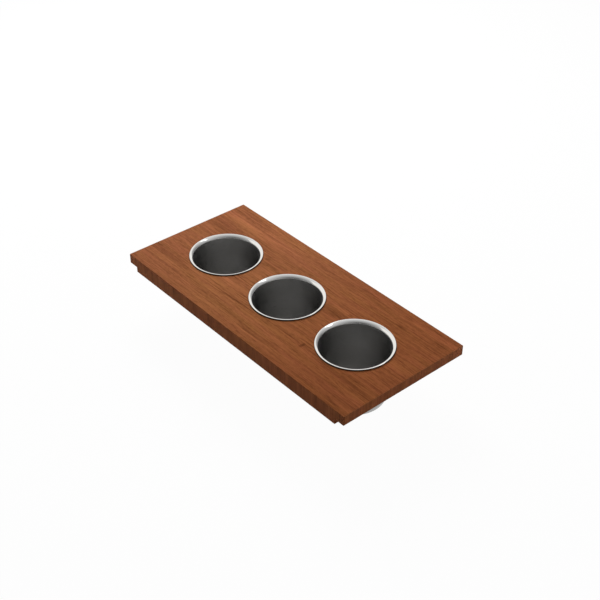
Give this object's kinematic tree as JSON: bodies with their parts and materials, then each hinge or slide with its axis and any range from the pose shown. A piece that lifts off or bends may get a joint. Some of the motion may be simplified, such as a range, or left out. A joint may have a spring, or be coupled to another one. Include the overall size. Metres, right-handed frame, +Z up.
{
  "type": "sink board with lift-out containers",
  "caption": "Hardwood board that spans a sink on rabbeted end lips, with round stainless containers that hang in bored holes by their beaded rims and lift straight out.",
  "frame": {"origin": "midway between the two lips, at the level of their undersides, which lie on the sink's ledges", "axes": "+X along the board from the left lip to the right one, +Y along the ledges towards the rear edge, +Z up"},
  "size_m": [0.4444, 0.2032, 0.0852],
  "materials": {
    "wood": "oiled reddish-brown hardwood, fine straight grain along the board",
    "steel": "satin wall and floor, polished rim"
  },
  "bodies": {
    "board": {"front_stave": "wood", "front_inner_stave": "wood", "middle_stave": "wood", "rear_inner_stave": "wood", "rear_stave": "wood"},
    "left_container": {"left_container": "steel"},
    "middle_container": {"middle_container": "steel"},
    "right_container": {"right_container": "steel"}
  },
  "joints": [
    {"name": "left_container_lift", "type": "slide", "parent": "board", "child": "left_container", "axis": [0, 0, 1], "range_m": [0, 0.09]},
    {"name": "middle_container_lift", "type": "slide", "parent": "board", "child": "middle_container", "axis": [0, 0, 1], "range_m": [0, 0.09]},
    {"name": "right_container_lift", "type": "slide", "parent": "board", "child": "right_container", "axis": [0, 0, 1], "range_m": [0, 0.09]}
  ]
}
